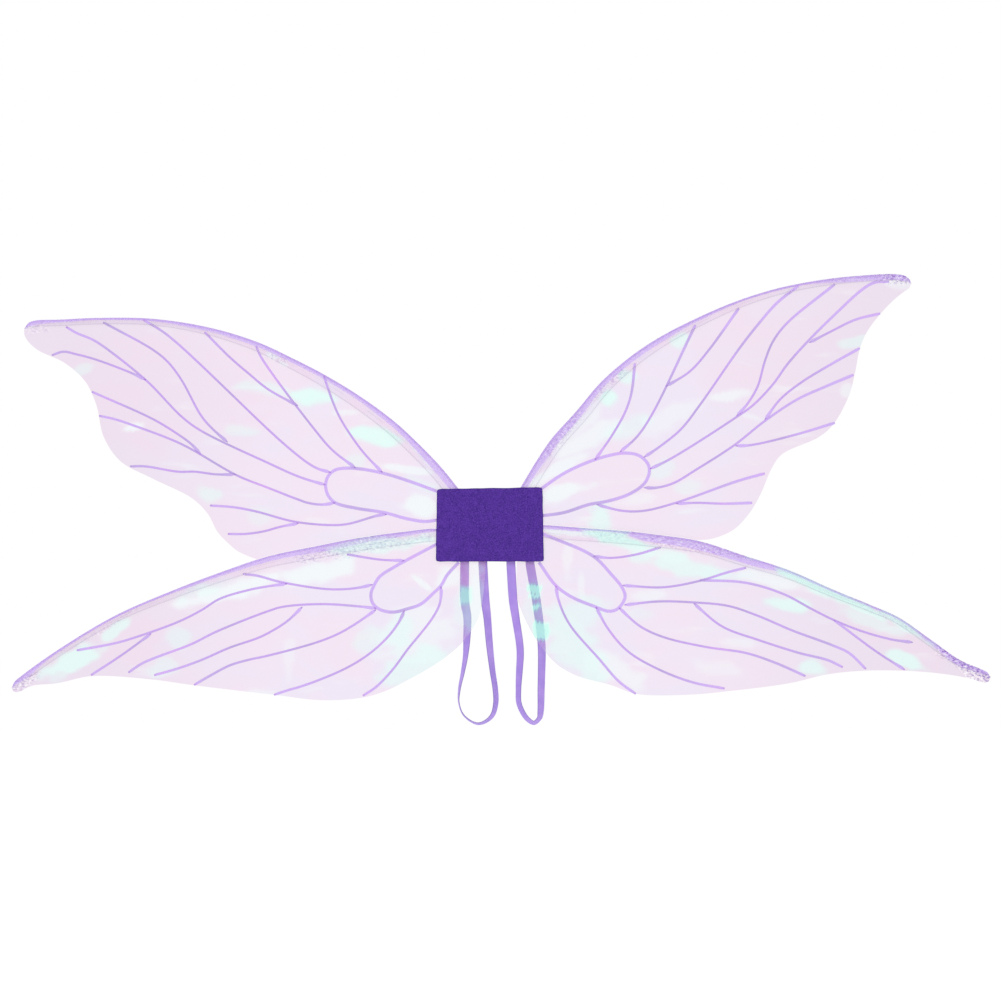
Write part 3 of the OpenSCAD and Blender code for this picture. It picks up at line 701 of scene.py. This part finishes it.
def felt_finish(colours, groups):
    """Deep purple pressed felt, with painted shade between its fibres and along its border and a
    painted highlight on its raised grain.
    """
    material, s, shader = shading("Purple Felt")
    spot = s.spot()
    felt = in_group(s, groups["fibre"], {"Vector": spot, "Size": FIBRE_SIZE})
    slow = in_group(s, groups["grain"], {"Vector": spot, "Size": FELT_GRAIN, "Contrast": 0.26})
    tone = s.mix(s.ramp(felt["Tufts"], 0.3, 0.7), colours.felt_deep, colours.felt)
    # The raised grain is lighter: its own tone with a painted highlight.
    tone = s.mix(s.times(slow["Grain"], 0.85), tone, colours.felt_light)
    dark = s.times(s.minus(1.0, felt["Fibres"]), 0.5)
    tone = s.mix(dark, tone, colours.felt_deep)
    uv = s.flat()
    edges = []
    for axis, size in (("X", PATCH_W), ("Y", PATCH_H)):
        middle = s.size(s.minus(uv[axis], 0.5))
        edges.append(s.times(s.minus(0.5, middle), size))
    # Painted shade along the border, where the felt turns back.
    rim = s.ramp(s.math("MINIMUM", *edges), *FELT_RIM_SHADE)
    tone = s.mix(rim, tone, colours.felt_deep)
    s.feed(shader, "Base Color", tone)
    steady(shader, {
        "Roughness": 0.95,
        "Specular IOR Level": 0.12,
        "Sheen Weight": 0.12,
        "Sheen Roughness": 0.5,
    })
    height = s.plus(s.times(felt["Fibres"], 0.6), slow["Grain"])
    bumped(s, shader, height, 0.0004, 0.7)
    return material


# Elastic: spacing of ribs and stitches and slant, metres, then where its sides darken
RIB_PITCH, STITCH_PITCH, STITCH_SLANT = 0.00125, 0.00085, 0.00018
ELASTIC_SIDE = (0.0044, 0.005, 0.0, 0.85)


def elastic_finish(colours, groups):
    """Flat knitted elastic: fine lengthwise ribs crossed by short stitches."""
    material, s, shader = shading("Lilac Elastic")
    spot = s.spot()
    uv = s.flat()
    along, across = uv["X"], uv["Y"]
    ribs = s.math("SINE", s.times(across, 2 * math.pi / RIB_PITCH))
    shift = s.times(ribs, STITCH_SLANT)
    stitches = s.math(
        "SINE", s.times(s.plus(along, shift), 2 * math.pi / STITCH_PITCH)
    )
    weave = s.times(s.ramp(ribs, -0.9, 0.8), s.ramp(stitches, -0.9, 0.6, 0.55, 1.0))
    patches = s.noise(spot, 60.0, detail=2.0)
    tone = s.mix(s.ramp(patches, 0.3, 0.7), colours.elastic, colours.elastic_light)
    dark = s.times(s.minus(1.0, weave), 0.32)
    tone = s.mix(dark, tone, colours.elastic_deep)
    side = s.ramp(s.size(across), *ELASTIC_SIDE)
    tone = s.mix(side, tone, colours.elastic_deep)
    s.feed(shader, "Base Color", tone)
    steady(shader, {
        "Roughness": 0.7,
        "Specular IOR Level": 0.3,
        "Sheen Weight": 0.15,
    })
    grain = in_group(s, groups["grain"], {"Vector": spot, "Size": 0.0006})["Grain"]
    bumped(s, shader, s.plus(weave, s.times(grain, 0.3)), 0.0002, 0.8)
    return material


def grained_finish(name, groups, tone, deep, size, rough, depth, pull=(1, 1, 1)):
    """A plain finish with fine grain: its colour drifts and its surface is uneven."""
    material, s, shader = shading(name)
    spot = s.stretched(s.spot(), pull)
    grain = in_group(s, groups["grain"], {"Vector": spot, "Size": size, "Contrast": 0.6})
    colour = s.mix(s.times(grain["Patches"], 0.6), tone, deep)
    colour = s.mix(s.times(grain["Grain"], 0.3), colour, deep)
    s.feed(shader, "Base Color", colour)
    s.tree.links.new(
        s.ramp(grain["Patches"], 0.0, 1.0, rough, rough + 0.12), shader.inputs["Roughness"]
    )
    bumped(s, shader, grain["Grain"], depth, 0.5)
    return material


# Grain size, roughness and depth of grain; a plain finish has its two colours first
WIRE_GRAIN = (0.0015, 0.3, 0.00005)
PLAIN_FINISHES = {
    "Grey Board": ((0.42, 0.38, 0.33), (0.25, 0.22, 0.19), 0.0012, 0.85, 0.0002),
    "Hot Glue": ((0.82, 0.78, 0.66), (0.62, 0.56, 0.42), 0.004, 0.35, 0.0004),
    "Purple Thread": (
        (0.12, 0.05, 0.30), (0.06, 0.02, 0.17), 0.0005, 0.7, 0.0002, (0.35, 1, 1)
    ),
}


def finishes():
    """Every finish by its name, made once."""
    if "Purple Felt" not in bpy.data.materials:
        colours = bpy.context.scene.wing_colours
        groups = {"grain": grain_group(), "fibre": fibre_group()}
        for make in (film_finish, vein_finish, felt_finish, elastic_finish):
            make(colours, groups)
        grained_finish("Coated Wire", groups, colours.wire, colours.wire_deep, *WIRE_GRAIN)
        for name, facts in PLAIN_FINISHES.items():
            grained_finish(name, groups, *facts)
    return bpy.data.materials


# ---------------------------------------------------------------- settings


def colour_setting(name, description, default):
    return bpy.props.FloatVectorProperty(
        name=name, description=description, default=default, subtype="COLOR",
        size=3, min=0.0, max=1.0,
    )


def length_setting(name, description, default, low, high):
    return bpy.props.FloatProperty(
        name=name, description=description, default=default, min=low, max=high,
        subtype="DISTANCE", unit="LENGTH", precision=4,
    )


def share_setting(name, description, default):
    return bpy.props.FloatProperty(
        name=name, description=description, default=default, min=0.0, max=1.0, subtype="FACTOR"
    )


class WingColours(bpy.types.PropertyGroup):
    """Colours of the film, felt, elastic and wire."""

    film_lilac: colour_setting("Film lilac", "The film's shaded colour", (0.54, 0.37, 0.66))
    film_pink: colour_setting("Film pink", "The film's main colour", (0.62, 0.33, 0.61))
    film_shade: colour_setting("Film shade", "Its duller outer half", (0.44, 0.20, 0.47))
    film_rose: colour_setting("Film rose", "Its warmer patches", (0.58, 0.20, 0.50))
    # Film pale and film mint are painted reflections: white and iridescent sheen fixed into the
    # colour.
    film_pale_reflection: colour_setting("Film pale", "Its white streaks", (0.60, 0.73, 0.77))
    film_mint_reflection: colour_setting("Film mint", "Its mint patches", (0.43, 0.82, 0.73))
    film_density: share_setting("Film density", "How much the film hides", 0.36)
    seam: colour_setting("Hem line", "The line where the hem is sealed", (0.42, 0.41, 0.50))
    vein_light: colour_setting("Vein lilac", "Wide veins near the patch", (0.52, 0.34, 0.79))
    vein_deep: colour_setting("Vein purple", "Thin veins", (0.35, 0.15, 0.60))
    vein_grey: colour_setting("Vein grey", "Where a vein looks cooler", (0.34, 0.26, 0.54))
    vein_rose: colour_setting("Vein rose", "Where a vein looks warmer", (0.60, 0.30, 0.78))
    # Painted crease shade: the dark specks in the crumpled tips.
    crease_shade: colour_setting("Crease", "Deep creases in the tips", (0.20, 0.07, 0.42))
    vein_density: share_setting("Vein density", "How much a vein's middle hides", 0.85)
    band: colour_setting("Edge band", "The printed leading edge", (0.50, 0.32, 0.77))
    band_light: colour_setting("Edge band light", "Its paler flecks", (0.64, 0.46, 0.87))
    band_density: share_setting("Edge band density", "How much more the band hides", 0.28)
    felt: colour_setting("Felt", "Its main colour", (0.083, 0.027, 0.310))
    felt_deep: colour_setting("Felt shade", "Between its fibres", (0.040, 0.011, 0.19))
    # Felt fibre is the raised grain's own tone with a painted highlight.
    felt_light: colour_setting("Felt fibre", "Its raised fibres", (0.135, 0.052, 0.41))
    elastic: colour_setting("Elastic", "Its main colour", (0.38, 0.24, 0.74))
    elastic_light: colour_setting("Elastic light", "Its paler stretches", (0.46, 0.30, 0.80))
    elastic_deep: colour_setting("Elastic shade", "Between its ribs", (0.16, 0.11, 0.34))
    wire: colour_setting("Wire", "Its coating", (0.62, 0.48, 0.84))
    wire_deep: colour_setting("Wire shade", "Its darker stretches", (0.52, 0.38, 0.76))


class WingSizes(bpy.types.PropertyGroup):
    """Sizes of the soft details."""

    billow: length_setting("Billow", "How far the film stands off its plane", 0.0026, 0.0, 0.006)
    ripple: length_setting("Ripple", "Depth of the film's long creases", 0.0009, 0.0, 0.003)
    crinkle: length_setting("Crinkle", "Depth of the hem's crinkles", 0.00045, 0.0, 0.001)
    vein_wide: length_setting("Cell line", "Width of the line round a root cell", 0.0044,
                              0.001, 0.01)
    vein_end: length_setting("Vein end", "Width of a vein's outer end", 0.0036, 0.0005, 0.01)
    vein_thin: length_setting("Vein middle", "Width of a vein's middle", 0.0027, 0.0005, 0.01)
    vein_join: length_setting("Vein root", "Width of a vein where it joins", 0.0034,
                              0.0005, 0.01)
    felt_bend: length_setting("Felt edge", "How far the felt's border bends back", 0.0011,
                              0.0, 0.002)


# ---------------------------------------------------------------- pieces


def read_patches(wing):
    """The wing's sheen patches: kind, centre, half sizes, turn and strength."""
    out = []
    for text in WINGS[wing]["sheen"].split(";"):
        kind, centre, half, turn, strength = text.split()
        out.append((kind, read_points(centre)[0], read_points(half)[0],
                    math.radians(float(turn)), float(strength)))
    return out


def sheen_at(p, patches):
    """How much mint and pale sheen (painted reflections), crinkling and rose tint the film has at
    p, by kind.
    """
    found = {"mint": 0.0, "pale": 0.0, "crinkle": 0.0, "rose": 0.0, "glare": 0.0}
    wobble = noise.noise(Vector((p.x * 0.045, p.y * 0.08, SEED))) * 0.55
    wobble += noise.noise(Vector((p.x * 0.10, p.y * 0.17, SEED))) * 0.2
    for kind, centre, half, turn, strength in patches:
        d = p - centre
        a = (d.x * math.cos(turn) + d.y * math.sin(turn)) / half.x
        b = (d.y * math.cos(turn) - d.x * math.sin(turn)) / half.y
        if kind == "glare":
            amount = strength * smooth_step(max(abs(a), abs(b)) + wobble * 0.3, 1.25, 0.85)
        else:
            amount = strength * smooth_step(math.hypot(a, b) + wobble, 1.35, 0.65)
        found[kind] = max(found[kind], amount)
    return found


def band_width(u, marks):
    """The edge band's width, in millimetres, at a distance out along the wing."""
    for a, b in zip(marks, marks[1:]):
        if u <= b.x:
            return a.y + (b.y - a.y) * smooth_step(u, a.x, b.x)
    return marks[-1].y


def waviness(p, edge, free, sizes):
    """How far the film stands off its plane at p, towards the wearer.

    edge is the distance from the leading edge and free from the free edge, both in metres.
    Near the patch and the loops the film only moves away from the wearer.
    """
    calm = smooth_step(abs(p.x), *(FOLD_X + reach for reach in CALM))
    slack = smooth_step(edge, *SLACK)
    big = noise.noise(Vector((p.x * 6.5, SEED, p.z * 9.0))) * sizes.billow * 1.7
    spoke = math.atan2(p.z, abs(p.x))
    reach = math.hypot(p.x, p.z)
    long_crease = noise.noise(Vector((reach * 5.0, spoke * 16.0, SEED + 3 * (p.x > 0))))
    fine = noise.noise(Vector((p.x * 34.0, SEED + 9, p.z * 60.0))) * 0.45
    frill = noise.noise(Vector((p.x * 22.0, SEED + 5, p.z * 22.0)))
    loose = 1.0 - smooth_step(free, 0.0, LOOSE)
    y = slack * (big + sizes.ripple * (long_crease * 1.6 + fine))
    y += loose * slack * frill * sizes.ripple * 1.4
    near = -abs(y) * 0.35
    return near + (y - near) * calm


def film_rows():
    """The film's rows, from the hem's inner edge round the wire and across the sheet."""
    hem = [("hem", d) for d in HEM_ROWS]
    wrap = [("wrap", a) for a in WRAP_ROWS]
    shares = [k / SHEET_ROWS for k in range(1, SHEET_ROWS + 1)]
    sheet = [("sheet", share**SHEET_CROWDING) for share in shares]
    return hem + wrap + sheet


def film_sheet(wing, sizes, material):
    """One wing's film, from under the patch to its tip, with its hem folded over the wire."""
    lead = evenly(lead_path(wing, LEAD_STEPS), STATIONS)
    free = evenly(trail_path(wing), STATIONS)
    rows, patches = film_rows(), read_patches(wing)
    bands = read_points(WINGS[wing]["band"])
    total = path_length(lead)
    facts = {}
    for i in range(STATIONS + 1):
        a, b = lead[i], free[i]
        inward = -left_of(lead, i)
        span = (b - a).length
        share = i / STATIONS
        hem = HEM_W * (1.0 - 0.5 * smooth_step(share, *HEM_NARROWS))
        kept = HEM_TIP + (1.0 - HEM_TIP) * (1.0 - smooth_step(share, *HEM_ENDS))
        hem = min(hem, HEM_SHARE * span) * kept
        radius = min(HEM_FOLD_R, 0.2 * span + 0.02)
        band = min(band_width(a.x, bands), hem * BAND_SHARE)
        for j, (kind, value) in enumerate(rows):
            angle = math.pi * value
            d = radius + (hem - radius) * value
            p = {
                "wrap": a + inward * radius * (1 - math.sin(angle)),
                "hem": a + inward * d,
                "sheet": (a + inward * radius).lerp(b, value),
            }[kind]
            sheen = sheen_at(p, patches)
            if kind == "wrap":
                v = radius * math.pi * (value - 0.5)
                q = placed(wing, p, WIRE_Y - HEM_FOLD_R * MM * math.cos(angle))
            elif kind == "hem":
                v = -(math.pi / 2 * radius + d - radius)
                q = placed(wing, p, HEM_Y)
                lift = abs(noise.noise(Vector((q.x * 95.0, SEED, q.z * 95.0))))
                lift += abs(noise.noise(Vector((q.x * 40.0, SEED, q.z * 40.0))))
                lift *= sizes.crinkle * (0.6 + 1.4 * min(sheen["crinkle"], 1.0))
                clear = smooth_step(abs(q.x), PATCH_W / 2, PATCH_W / 2 + 0.02)
                q.y -= clear * lift * math.sin(math.pi * min(value, 0.9))
            else:
                d = (p - a).length
                v = math.pi / 2 * radius + d - radius
                q = placed(wing, p, SHEET_Y)
                q.y += waviness(q, d * MM, (b - p).length * MM, sizes)
                fuss = noise.noise(Vector((q.x * 120.0, SEED + 2, q.z * 120.0)))
                calm = smooth_step(abs(q.x), PATCH_W / 2, PATCH_W / 2 + NEAR_PATCH)
                fuss *= sheen["crinkle"] * sizes.crinkle
                q.y += fuss * calm * smooth_step(d, *NEAR_HEM)
            # Mint with glare and pale are painted reflections; crinkle is real crinkling that also
            # carries painted crease shade and glints.
            painted_reflection_and_crinkle = (sheen["mint"] + sheen["glare"] * GLARE_GAIN, sheen["pale"], sheen["crinkle"])
            edges = (band * MM, hem * MM, sheen["rose"])
            facts[i, j] = (q, (total * share * MM, v * MM), painted_reflection_and_crinkle, edges)
    bm = new_sheet()
    sheen_layer = bm.verts.layers.float_vector.new("sheen")
    width_layer = bm.verts.layers.float_vector.new("edge_widths")
    at = grid_on(bm, STATIONS, len(rows) - 1, lambda i, j: facts[i, j][0])
    for v, key in at.items():
        v[sheen_layer], v[width_layer] = facts[key][2], facts[key][3]
    lay_flat(bm, at, lambda i, j: facts[i, j][1])
    return finished(f"{wing}_film", bm, material)


def film_depth(film):
    """A lookup of the film's outermost face, seen from in front."""
    bm = bmesh.new()
    bm.from_mesh(film.data)
    tree = BVHTree.FromBMesh(bm)
    bm.free()

    def at(p, default):
        start = Vector((p.x, -FRONT_CLEAR, p.z))
        hit = tree.ray_cast(start, Vector((0, 1, 0)), 2 * FRONT_CLEAR)[0]
        return hit.y if hit else default

    return at


def vein(bm, wing, path, widths, depth_at, lift):
    """One printed line along a path, laid on the film."""
    count = max(int(path_length(path) / VEIN_STEP), 6)
    line = evenly(path, count)
    last = SHEET_Y
    half = []
    rows = {}
    for i, p in enumerate(line):
        half.append(widths(i / count) / 2 / MM)
        out = left_of(line, i)
        for j in range(3):
            q = placed(wing, p + out * half[-1] * (j - 1), 0.0)
            last = depth_at(q, last)
            rows[i, j] = Vector((q.x, last - lift, q.z))
    at = grid_on(bm, count, 2, lambda i, j: rows[i, j])
    lay_flat(bm, at, lambda i, j: (2 * half[i] * MM, j / 2))


def vein_print(wing, sizes, material):
    """Every vein of one wing and the line round its root cell, as one piece."""
    depth_at = film_depth(bpy.data.objects[f"{wing}_film"])
    bm = new_sheet()
    lift = VEIN_LIFT
    facts = WINGS[wing]
    cell = smooth_path(read_points(facts["cell"]))
    vein(bm, wing, cell, lambda t: sizes.vein_wide, depth_at, lift)
    for text in facts["veins"].split(";"):
        lift += VEIN_LAYER
        line = smooth_path(read_points(text))
        length = path_length(line) * MM

        def widths(t, length=length):
            ends = (sizes.vein_end * facts["vein"] - sizes.vein_thin) * (1 - t) ** 2
            ends += (sizes.vein_join - sizes.vein_thin) * t**3
            left = (1 - t) * length
            flare = sizes.vein_thin * 0.5 * smooth_step(left, *VEIN_FLARE)
            end = 0.22 + 0.78 * smooth_step(left, 0.0, VEIN_TIP)
            start = 0.7 + 0.3 * smooth_step(t * length, 0.0, VEIN_START)
            return (sizes.vein_thin + ends + flare) * start * end

        vein(bm, wing, line, widths, depth_at, lift)
    return finished(f"{wing}_veins", bm, material)


def wing_wire(wing, material):
    """The wire in one leading edge, from under the patch to its rounded end at the tip."""
    root = root_points(wing)
    path = [root[0]] + lead_path(wing, CURVE_STEPS)
    path = [p - left_of(path, i) * WIRE_INSET for i, p in enumerate(path)]
    path = evenly(path, WIRE_STATIONS)
    full = len(WIRE_END) - 1

    def place(i, j):
        radius = WIRE_D / 2 * WIRE_END[min(i, WIRE_STATIONS - i, full)]
        angle = 2 * math.pi * (j % WIRE_SIDES) / WIRE_SIDES
        p = path[i] + left_of(path, i) * math.cos(angle) * radius / MM
        return placed(wing, p, WIRE_Y + math.sin(angle) * radius)

    bm = new_sheet()
    swept(bm, WIRE_STATIONS, WIRE_SIDES, place)
    return finished(f"{wing}_wire", bm, material)


def felt_cover(name, depths, material, corners, bend):
    """One felt cover: a soft sheet with rounded corners, its border bent back a little."""
    front, back = min(depths), max(depths)
    thick = back - front
    towards = 1 if front < STRAP_Y * 2 else -1
    low_l, low_r, high_l, high_r = (Vector(c) for c in corners)

    def place(i, j):
        s, t = i / FELT_COLUMNS, j / FELT_ROWS
        p = low_l.lerp(low_r, s).lerp(high_l.lerp(high_r, s), t)
        x, z = 2 * s - 1, 2 * t - 1
        round_off = max(0.0, abs(x) + abs(z) - 1.93) * 9.0
        p.x -= math.copysign(round_off * 1.2, x)
        p.y -= math.copysign(round_off * 1.2, z)
        p.x += noise.noise(Vector((p.y * 0.09, SEED, x * 2))) * 0.35 * abs(x) ** 8
        p.y += noise.noise(Vector((p.x * 0.07, SEED + 4, z * 2))) * 0.45 * abs(z) ** 8
        rim = max(smooth_step(abs(x), 0.88, 1.0), smooth_step(abs(z), 0.84, 1.0))
        dent = noise.noise(Vector((p.x * 0.045, p.y * 0.045, SEED))) * 0.00016
        middle = front + thick / 2 + towards * (rim * bend + abs(dent))
        return Vector((p.x * MM, middle, p.y * MM))

    bm = new_sheet()
    grid_on(bm, FELT_COLUMNS, FELT_ROWS, place)
    bmesh.ops.recalc_face_normals(bm, faces=bm.faces)
    piece = finished(name, bm, material)
    wall = piece.modifiers.new("Felt thickness", "SOLIDIFY")
    wall.thickness, wall.offset = thick, 0.0
    soft = piece.modifiers.new("Soft edge", "BEVEL")
    soft.width, soft.segments = FELT_EDGE_ROUND, FELT_EDGE_SEGMENTS
    soft.limit_method, soft.angle_limit = "ANGLE", math.radians(FELT_EDGE_ANGLE)
    return piece


def arm_loop(side, material):
    """One elastic loop, from its sewn ends under the patch round its hanging bend."""
    drawn = read_points(LOOPS[side])
    bottom = -PATCH_H / 2 / MM
    loop = smooth_path(drawn, CURVE_STEPS)
    centres = [Vector((p.x, STRAP_Y / MM + p.y, bottom - p.z)) for p in loop]
    twists = [p.w for p in loop]
    first, last = centres[0], centres[-1]
    for k in range(1, LOOP_HELD_STEPS + 1):
        rise = (STRAP_HOLD + STRAP_START) * k / LOOP_HELD_STEPS
        centres.insert(0, Vector((first.x, first.y, first.z + rise)))
        centres.append(Vector((last.x, last.y, last.z + rise)))
        twists.insert(0, 0.0)
        twists.append(0.0)
    n = len(centres) - 1
    lengths = [0.0]
    for a, b in zip(centres, centres[1:]):
        lengths.append(lengths[-1] + (b - a).length)

    def frame_at(i):
        t = (centres[min(i + 1, n)] - centres[max(i - 1, 0)]).normalized()
        out = Vector((t.z, 0, -t.x)).normalized()
        a = math.radians(twists[i])
        wide = out * math.cos(a) + Vector((0, 1, 0)) * math.sin(a)
        wide = (wide - t * wide.dot(t)).normalized()
        return wide, t.cross(wide)

    def section(j):
        angle = 2 * math.pi * (j % LOOP_SIDES) / LOOP_SIDES
        c, s = math.cos(angle), math.sin(angle)
        w = math.copysign(min(abs(c) ** 0.35, 1.0), c) * STRAP_W / 2
        h = math.copysign(min(abs(s) ** 0.5, 1.0), s) * STRAP_T / 2
        return w, h

    def place(i, j):
        wide, thick = frame_at(i)
        w, h = section(j)
        return (centres[i] + wide * w + thick * h) * MM

    bm = new_sheet()
    swept(bm, n, LOOP_SIDES, place, lambda i, j: (lengths[i] * MM, section(j)[0] * MM))
    return finished(f"{side}_arm_loop", bm, material)


def fold_with(piece):
    """Bakes the piece's placement into its mesh."""
    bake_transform(piece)


class WINGS_OT_film(bpy.types.Operator):
    """Makes the four film wings, each folded over its wire"""

    bl_idname = "wings.film"
    bl_label = "Film wings"

    def execute(self, context):
        sizes = context.scene.wing_sizes
        for wing, facts in WINGS.items():
            piece = film_sheet(wing, sizes, finishes()["Iridescent Film"])
            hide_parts(f"film_{wing}", f"film_root_{wing}")
            fold_with(piece)
        return {"FINISHED"}


class WINGS_OT_veins(bpy.types.Operator):
    """Makes the printed veins of each wing"""

    bl_idname = "wings.veins"
    bl_label = "Printed veins"

    def execute(self, context):
        for wing in WINGS:
            if f"{wing}_film" not in bpy.data.objects:
                raise RuntimeError("make the film wings first")
            piece = vein_print(wing, context.scene.wing_sizes, finishes()["Printed Vein"])
            fold_with(piece)
        return {"FINISHED"}


class WINGS_OT_wires(bpy.types.Operator):
    """Makes the four wires, each along its wing's leading edge"""

    bl_idname = "wings.wires"
    bl_label = "Wing wires"

    def execute(self, context):
        for wing in WINGS:
            piece = wing_wire(wing, finishes()["Coated Wire"])
            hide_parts(f"wire_{wing}", f"wire_root_{wing}")
            fold_with(piece)
        return {"FINISHED"}


class WINGS_OT_patch(bpy.types.Operator):
    """Makes the two felt covers and finishes what lies between them"""

    bl_idname = "wings.patch"
    bl_label = "Back patch"

    def execute(self, context):
        felt = finishes()["Purple Felt"]
        bend = context.scene.wing_sizes.felt_bend
        front = felt_cover("front_felt", FRONT_FELT_Y, felt, FELT_CORNERS, bend)
        wide, tall = REAR_FELT_SHARE
        inner = tuple((x * wide, z * tall) for x, z in FELT_CORNERS)
        rear = felt_cover("rear_felt", REAR_FELT_Y, felt, inner, bend * 0.5)
        for piece, node in ((front, "front_cover"), (rear, "rear_cover")):
            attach(piece, "centre")
            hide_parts(node)
        inside = {
            "core_board": "Grey Board",
            "front_cover_glue": "Hot Glue",
            "rear_cover_glue": "Hot Glue",
            "wire_glue_pads": "Hot Glue",
            "strap_tacks": "Purple Thread",
        }
        for node, finish in inside.items():
            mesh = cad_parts[node].data
            mesh.materials.clear()
            mesh.materials.append(finishes()[finish])
        return {"FINISHED"}


class WINGS_OT_loops(bpy.types.Operator):
    """Makes the two elastic arm loops"""

    bl_idname = "wings.loops"
    bl_label = "Arm loops"

    def execute(self, context):
        for side in LOOPS:
            piece = arm_loop(side, finishes()["Lilac Elastic"])
            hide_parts(f"strap_loop_{side}", f"strap_ends_{side}")
            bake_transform(piece)
        return {"FINISHED"}


class WINGS_OT_stage(bpy.types.Operator):
    """Makes the pale floor, the soft lights and the camera"""

    bl_idname = "wings.stage"
    bl_label = "Stage"

    def execute(self, context):
        scene = context.scene
        scene.view_settings.view_transform = "Standard"
        bm = bmesh.new()
        bmesh.ops.create_circle(bm, cap_ends=True, segments=FLOOR_SIDES, radius=FLOOR_RADIUS)
        bmesh.ops.translate(bm, verts=bm.verts, vec=(0, 0, FLOOR_Z))
        material, s, shader = shading("Pale Floor")
        spot = s.spot()
        drift = s.noise(spot, 0.6, detail=1.0)
        s.tree.links.new(
            s.mix(s.ramp(drift, 0.3, 0.7), (0.93, 0.93, 0.93), (0.95, 0.95, 0.95)),
            shader.inputs["Base Color"],
        )
        steady(shader, {
            "Roughness": 1.0,
            "Specular IOR Level": 0.0,
            "Emission Color": (1, 1, 1, 1),
            "Emission Strength": FLOOR_GLOW,
        })
        mesh = bpy.data.meshes.new("floor")
        bm.to_mesh(mesh)
        bm.free()
        mesh.materials.append(material)
        floor = bpy.data.objects.new("floor", mesh)
        scene.collection.objects.link(floor)

        world = bpy.data.worlds.new("Studio")
        world.use_nodes = True
        steady(world.node_tree.nodes["Background"], {"Color": (1, 1, 1, 1), "Strength": 1.0})
        scene.world = world

        for name, place, power, size in LAMPS:
            lamp = bpy.data.lights.new(name, "AREA")
            lamp.energy, lamp.size = power, size
            light = bpy.data.objects.new(name, lamp)
            light.location = place
            light.rotation_euler = (-Vector(place)).to_track_quat("-Z", "Y").to_euler()
            scene.collection.objects.link(light)

        lens = bpy.data.cameras.new("camera")
        lens.sensor_width = SENSOR_WIDTH
        lens.lens = SENSOR_WIDTH * CAMERA_DISTANCE / VIEW_WIDTH
        lens.clip_end = CAMERA_FAR
        camera = bpy.data.objects.new("camera", lens)
        camera.location = (CAMERA_X, WIRE_Y - CAMERA_DISTANCE, CAMERA_Z)
        camera.rotation_euler = (math.pi / 2, 0, 0)
        scene.collection.objects.link(camera)
        scene.camera = camera
        return {"FINISHED"}


MAKERS = (
    WINGS_OT_stage, WINGS_OT_film, WINGS_OT_veins, WINGS_OT_wires, WINGS_OT_patch, WINGS_OT_loops
)


class WINGS_PT_panel(bpy.types.Panel):
    """The wings' settings and makers"""

    bl_label = "Fairy Wings"
    bl_idname = "WINGS_PT_panel"
    bl_space_type = "VIEW_3D"
    bl_region_type = "UI"
    bl_category = "Fairy Wings"

    def draw(self, context):
        for group in (context.scene.wing_colours, context.scene.wing_sizes):
            box = self.layout.box()
            for name in group.__annotations__:
                box.prop(group, name)
        for maker in MAKERS:
            self.layout.operator(maker.bl_idname)


CLASSES = (WingColours, WingSizes, *MAKERS, WINGS_PT_panel)


def register():
    for cls in CLASSES:
        bpy.utils.register_class(cls)
    bpy.types.Scene.wing_colours = bpy.props.PointerProperty(type=WingColours)
    bpy.types.Scene.wing_sizes = bpy.props.PointerProperty(type=WingSizes)


def unregister():
    del bpy.types.Scene.wing_colours
    del bpy.types.Scene.wing_sizes
    for cls in reversed(CLASSES):
        bpy.utils.unregister_class(cls)


def main():
    register()
    for maker in MAKERS:
        group, name = maker.bl_idname.split(".")
        getattr(getattr(bpy.ops, group), name)()


if __name__ == "__main__":
    main()
